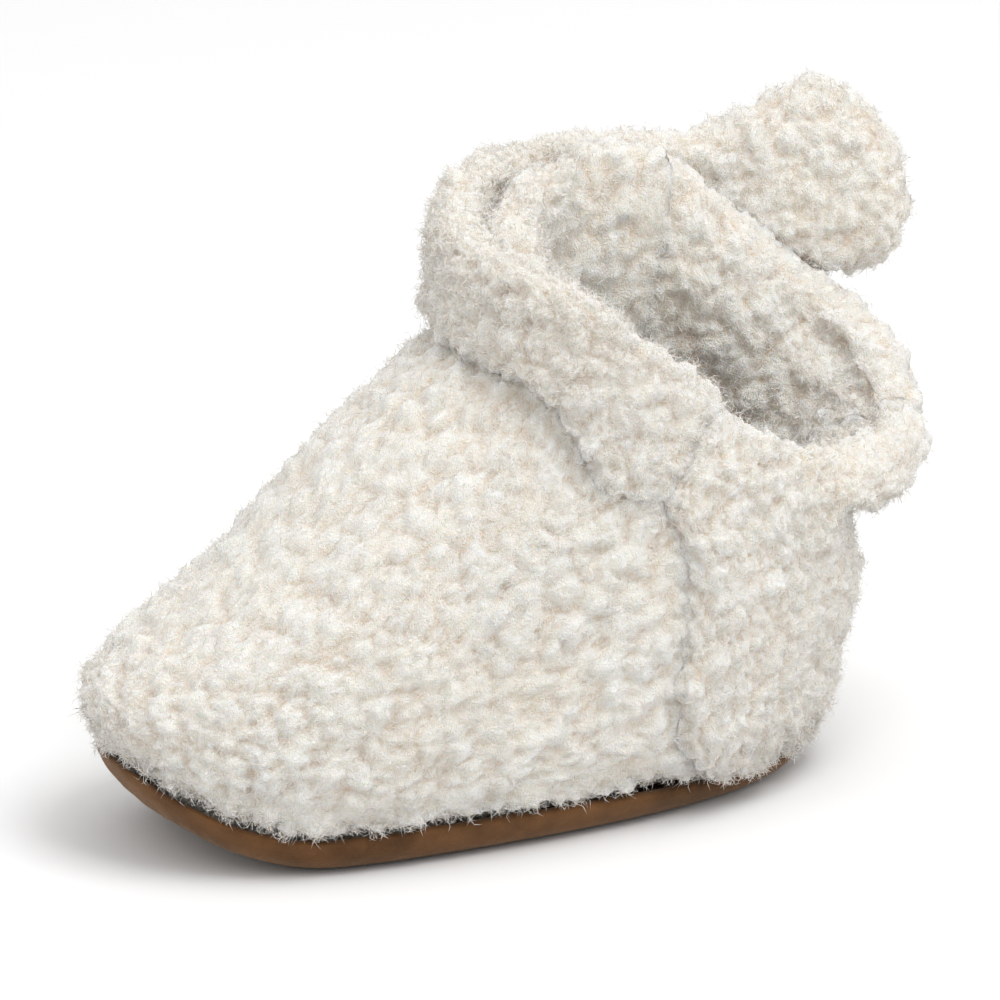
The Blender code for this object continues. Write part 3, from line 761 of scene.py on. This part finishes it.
def woven_material(name, colour, scale, depth, roughness=0.85):
    """Woven or spun material: crossed waves for the threads, with a soft mottle."""
    made, tree, shader, node = new_material(name)
    place = node("ShaderNodeTexCoord").outputs["Object"]
    warp = node("ShaderNodeTexWave", Scale=scale, Distortion=0.6, bands_direction="Z")
    weft = node("ShaderNodeTexWave", Scale=scale, Distortion=0.6, bands_direction="Y")
    cross = node("ShaderNodeMath", operation="MAXIMUM")
    for wave, socket in ((warp, 0), (weft, 1)):
        tree.links.new(place, wave.inputs["Vector"])
        tree.links.new(wave.outputs["Fac"], cross.inputs[socket])
    dark = tuple(value * 0.8 for value in colour)
    tree.links.new(
        ramp(node, tree, cross.outputs[0], [(0.2, dark), (0.8, colour)]),
        shader.inputs["Base Color"],
    )
    bumped(node, tree, shader, cross.outputs[0], 0.6, depth)
    shader.inputs["Roughness"].default_value = roughness
    shader.inputs["Sheen Weight"].default_value = 0.2
    return made


def floor_material(name, colour):
    """Plain pale paper."""
    made, tree, shader, node = new_material(name)
    shader.inputs["Base Color"].default_value = (*colour, 1)
    shader.inputs["Roughness"].default_value = 0.9
    shader.inputs["Specular IOR Level"].default_value = 0.0
    return made


_looks = {}


def look(name):
    """Material of the bootie by name, made when it is first asked for."""
    if name not in _looks:
        colours = bpy.context.scene.bootie_colours
        makers = {
            "fleece": lambda: fleece_material("cream_fleece", tuple(colours.fleece), tuple(colours.crease_shade)),
            "fibre": lambda: fibre_material("loose_fibre", tuple(colours.crease_shade), (0.98, 0.96, 0.925)),
            "suede": lambda: suede_material("brown_suede", tuple(colours.suede)),
            "cotton": lambda: woven_material("cotton", (0.82, 0.77, 0.68), 1500.0, 0.0002),
            "elastic": lambda: woven_material("elastic", (0.85, 0.83, 0.78), 900.0, 0.0003, 0.6),
            "foam": lambda: woven_material("foam", (0.86, 0.83, 0.74), 700.0, 0.0004),
            "loop": lambda: woven_material("loop_fabric", (0.86, 0.83, 0.77), 1800.0, 0.0004),
            "hook": lambda: woven_material("hook_fabric", (0.82, 0.8, 0.75), 1000.0, 0.0006, 0.5),
        }
        _looks[name] = makers[name]()
    return _looks[name]


# Properties, operators and panel


class BootieSizes(bpy.types.PropertyGroup):
    """Sizes of the pile and of the view."""

    curl: bpy.props.FloatProperty(
        name="Curl size", description="Distance between curls of the pile, in mm", default=4.4
    )
    fibre_length: bpy.props.FloatProperty(
        name="Fibre length", description="Length of a loose fibre, in mm", default=2.2
    )
    fibre_count: bpy.props.IntProperty(
        name="Fibres", description="Loose fibres on each large piece", default=MOST_FIBRES
    )
    lens: bpy.props.FloatProperty(
        name="Lens", description="Focal length of the camera, in mm", default=400.0
    )
    view_width: bpy.props.FloatProperty(
        name="View width",
        description="Width of the view at the bootie",
        default=0.1567,
        unit="LENGTH",
    )


class BootieColours(bpy.types.PropertyGroup):
    """Colours of the fleece and the sole."""

    fleece: bpy.props.FloatVectorProperty(
        name="Fleece", description="Top of the curls", subtype="COLOR", default=(0.98, 0.945, 0.89)
    # Tan painted shade for the valleys between the curls and for the fibres' roots.
    )
    crease_shade: bpy.props.FloatVectorProperty(
        name="Creases", description="Between the curls", subtype="COLOR", default=(0.84, 0.715, 0.57)
    )
    suede: bpy.props.FloatVectorProperty(
        name="Suede", description="Sole", subtype="COLOR", default=(0.115, 0.053, 0.02)
    )


def sizes():
    """The scene's bootie sizes."""
    return bpy.context.scene.bootie_sizes


def fibre_total():
    """Fibres per large piece."""
    return sizes().fibre_count


def blend_band(wing, side):
    """Blend across a wing's fold: the two bodies, and where the turning starts and ends."""
    mirror = np.array([side, 1.0, 1.0])
    heading = np.array(FOLD_HEADING) * mirror
    fold = np.array(FOLD_PLACE) * mirror
    start = (fold - heading * BEND_BEFORE + SHIFT) / 1000
    end = (fold + heading * BEND_AFTER + SHIFT) / 1000
    return ("shoe", wing, tuple(start), tuple(end))


def fleece_piece(name, wall, body, nodes, seed, fuzz=1.0, hem_weight=0.0):
    """A padded fleece piece and its loose fibres."""
    raised, openness, number = fleece_grid(wall, sizes().curl)
    mesh = ring_mesh(name, raised, {"openness": openness, "tint": number})
    piece = add(name, mesh, look("fleece"), body, nodes)
    above = raised[..., 2] - raised[..., 2].min(axis=1, keepdims=True)
    share = (openness + 0.25) * (1 + hem_weight * np.exp(-((above / 2.5) ** 2)))
    count = int(fibre_total() * fuzz)
    for part in range(max(1, int(math.ceil(count / MOST_FIBRES)))):
        each = min(MOST_FIBRES, count - part * MOST_FIBRES)
        label = f"{name}_fibres_{part + 1}"
        strand = fibres(label, raised, each, sizes().fibre_length, seed + part, share)
        add(strand.name, strand, look("fibre"), body)
    return piece


class BOOTIE_OT_vamp(bpy.types.Operator):
    """Adds the curly fleece toe panel"""

    bl_idname = "bootie.vamp"
    bl_label = "Vamp"

    def execute(self, context):
        wall = vamp_wall(330, 280)
        fleece_piece("vamp", wall, "shoe", ("vamp_fleece", "vamp_lining"), 11, 2.0, 3.0)
        return {"FINISHED"}


class BOOTIE_OT_quarters(bpy.types.Operator):
    """Adds the two side and heel panels"""

    bl_idname = "bootie.quarters"
    bl_label = "Quarters"

    def execute(self, context):
        for name, side, seed in (("near_quarter", 1, 21), ("far_quarter", -1, 31)):
            wall = quarter_wall(side, 210, 300)
            nodes = (name + "_fleece", name + "_lining")
            fleece_piece(name, wall, "shoe", nodes, seed, 1.0, 2.0)
        return {"FINISHED"}


class BOOTIE_OT_wings(bpy.types.Operator):
    """Adds the outer and the inner wrap wing"""

    bl_idname = "bootie.wings"
    bl_label = "Wings"

    def execute(self, context):
        wall = outer_wing_wall(420, 170)
        nodes = ("outer_wing_fleece", "outer_wing_lining")
        fleece_piece("outer_wing", wall, blend_band("outer_wing", 1), nodes, 41, fuzz=1.5)
        wall = inner_wing_wall(200, 120)
        nodes = ("inner_wing_fleece", "inner_wing_lining")
        fleece_piece("inner_wing", wall, blend_band("inner_wing", -1), nodes, 51, fuzz=0.5)
        return {"FINISHED"}


def sole_ring(count, inset, height_share, rise):
    """Ring of the sole: the hem's plan set in, at a share of the wall's height."""
    theta = np.linspace(0, 2 * math.pi, count, endpoint=False)
    widest, toe, heel = LEVELS[0, 1:4] * SOLE_LENGTH
    x, y = oval(theta, LEVELS[0, 0] * SOLE_WIDTH - inset, widest, toe + inset, heel - inset)
    z = lift(y) + height_share * heights(theta, *WALL_HEIGHTS) + rise
    return np.stack([x, y, z], axis=-1)


def lofted_rings(stops, around, rows):
    """Grid of rings through the sole's stops, smoothed from stop to stop."""
    rings = np.stack([sole_ring(around, *stop) for stop in stops])
    at = np.linspace(0, len(stops) - 1, rows)
    grid = through(np.arange(len(stops)), rings.reshape(len(stops), -1), at)
    return grid.reshape(rows, around, 3)


class BOOTIE_OT_sole(bpy.types.Operator):
    """Adds the suede cup sole"""

    bl_idname = "bootie.sole"
    bl_label = "Sole"

    def execute(self, context):
        inner = WALL_INSET + SUEDE_THICKNESS
        stops = [
            (24.5, 0.0, 0.0), (15.0, 0.0, 0.0), (7.0, 0.0, 0.0), (3.6, 0.12, 0.0),
            (1.5, 0.4, 0.0), (WALL_INSET, 0.78, 0.0), (WALL_INSET, 1.0, 0.0),
            (0.5 * (WALL_INSET + inner), 1.08, 0.0), (inner, 1.0, 0.0), (inner + 0.6, 0.7, 0.0),
            (inner + 3.0, 0.0, SUEDE_THICKNESS + 0.3), (15.0, 0.0, SUEDE_THICKNESS),
            (24.5, 0.0, SUEDE_THICKNESS),
        ]
        grid = lofted_rings(stops, 320, 72)
        grid[..., 2] = np.maximum(grid[..., 2], 0.0)
        wave = wander(grid.reshape(-1, 3), 4.0, 8).reshape(grid.shape)
        edge = ease((grid[..., 2:] - 1.0) / 3.0)
        grid = grid + 0.22 * wave * edge
        mesh = ring_mesh("suede_sole", grid, {})
        add("suede_sole", mesh, look("suede"), "shoe", ("outsole",))
        return {"FINISHED"}


class BOOTIE_OT_insole(bpy.types.Operator):
    """Adds the fleece insole that lines the foot bed"""

    bl_idname = "bootie.insole"
    bl_label = "Insole"

    def execute(self, context):
        stops = [
            (24.5, 0.0, 5.1), (12.0, 0.0, 5.1), (8.4, 0.0, 5.5), (7.8, 0.0, 6.3),
            (8.6, 0.0, 7.2), (12.0, 0.0, 7.4), (24.5, 0.0, 7.4),
        ]
        grid = lofted_rings(stops, 200, 60)
        raised, openness, number = fleece_grid(grid, sizes().curl * 0.8, 0.5)
        mesh = ring_mesh("insole", raised, {"openness": openness, "tint": number})
        piece = add("insole", mesh, look("fleece"), "shoe", ("insole_sock",))
        return {"FINISHED"}


class BOOTIE_OT_finish_frame(bpy.types.Operator):
    """Gives the CAD pieces that stay their woven, foam and hook-and-loop finishes"""

    bl_idname = "bootie.finish_frame"
    bl_label = "Sewn-in pieces"

    def execute(self, context):
        finishes = {
            "midsole_foam": "foam", "near_seam_thread": "cotton", "far_seam_thread": "cotton",
            "sole_seam_thread": "cotton", "back_seam_tape": "cotton", "heel_elastic": "elastic",
            "loop_patch": "loop", "hook_patch": "hook",
        }
        for node, finish in finishes.items():
            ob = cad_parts[node]
            if not ob.material_slots:
                ob.data.materials.append(None)
            for slot in ob.material_slots:
                slot.material = look(finish)
        return {"FINISHED"}


class BOOTIE_OT_stage(bpy.types.Operator):
    """Adds the floor, the soft lights and the camera"""

    bl_idname = "bootie.stage"
    bl_label = "Stage"

    def execute(self, context):
        scene = context.scene
        mesh = bpy.data.meshes.new("floor")
        signs = ((-1, -1), (1, -1), (1, 1), (-1, 1))
        corners = [(x * FLOOR_REACH, y * FLOOR_REACH, 0) for x, y in signs]
        mesh.from_pydata(corners, [], [(0, 1, 2, 3)])
        mesh.materials.append(floor_material("pale_paper", (0.76, 0.76, 0.76)))
        floor = bpy.data.objects.new("floor", mesh)
        scene.collection.objects.link(floor)
        world = bpy.data.worlds.new("studio")
        world.use_nodes = True
        background = world.node_tree.nodes["Background"]
        background.inputs["Color"].default_value = (1, 1, 1, 1)
        background.inputs["Strength"].default_value = WORLD_STRENGTH
        scene.world = world
        scene.view_settings.view_transform = "Standard"
        for lamp in LAMPS:
            self.lamp(*lamp)
        self.camera()
        return {"FINISHED"}

    def lamp(self, name, place, size, power):
        """Square soft light that faces the bootie."""
        light = bpy.data.lights.new(name, "AREA")
        light.size = size
        light.energy = power
        ob = bpy.data.objects.new(name, light)
        bpy.context.scene.collection.objects.link(ob)
        ob.location = place
        ob.rotation_euler = aim(np.array(LAMP_AIM) - np.array(place))

    def camera(self):
        """Camera at the view's azimuth and elevation, at a long lens's distance."""
        data = bpy.data.cameras.new("camera")
        data.lens = sizes().lens
        ob = bpy.data.objects.new("camera", data)
        bpy.context.scene.collection.objects.link(ob)
        azimuth, elevation = math.radians(VIEW_AZIMUTH), math.radians(VIEW_ELEVATION)
        back = np.array([
            math.sin(azimuth) * math.cos(elevation),
            -math.cos(azimuth) * math.cos(elevation),
            math.sin(elevation),
        ])
        target = (np.array(VIEW_TARGET) + SHIFT) / 1000
        distance = sizes().view_width * data.lens / data.sensor_width
        ob.location = target + back * distance
        ob.rotation_euler = aim(-back)
        data.clip_start = 0.01
        bpy.context.scene.camera = ob


def aim(direction):
    """Rotation that points an object's -Z along a direction with its Y upwards."""
    return Vector(direction).to_track_quat("-Z", "Y").to_euler()


class BOOTIE_PT_panel(bpy.types.Panel):
    """Panel in the 3D view's sidebar"""

    bl_label = "Baby bootie"
    bl_idname = "BOOTIE_PT_panel"
    bl_space_type = "VIEW_3D"
    bl_region_type = "UI"
    bl_category = "Bootie"

    def draw(self, context):
        layout = self.layout
        for group in (context.scene.bootie_sizes, context.scene.bootie_colours):
            for key in group.__annotations__:
                layout.prop(group, key)
        for operator in OPERATORS:
            layout.operator(operator.bl_idname)


OPERATORS = (
    BOOTIE_OT_vamp,
    BOOTIE_OT_quarters,
    BOOTIE_OT_wings,
    BOOTIE_OT_sole,
    BOOTIE_OT_insole,
    BOOTIE_OT_finish_frame,
    BOOTIE_OT_stage,
)
CLASSES = (BootieSizes, BootieColours, *OPERATORS, BOOTIE_PT_panel)


def register():
    """Registers the classes and the scene's properties."""
    for item in CLASSES:
        bpy.utils.register_class(item)
    bpy.types.Scene.bootie_sizes = bpy.props.PointerProperty(type=BootieSizes)
    bpy.types.Scene.bootie_colours = bpy.props.PointerProperty(type=BootieColours)


def unregister():
    """Removes what register added."""
    del bpy.types.Scene.bootie_sizes
    del bpy.types.Scene.bootie_colours
    for item in reversed(CLASSES):
        bpy.utils.unregister_class(item)


def main():
    register()
    bpy.ops.bootie.vamp()
    bpy.ops.bootie.quarters()
    bpy.ops.bootie.wings()
    bpy.ops.bootie.sole()
    bpy.ops.bootie.insole()
    bpy.ops.bootie.finish_frame()
    bpy.ops.bootie.stage()


if __name__ == "__main__":
    main()
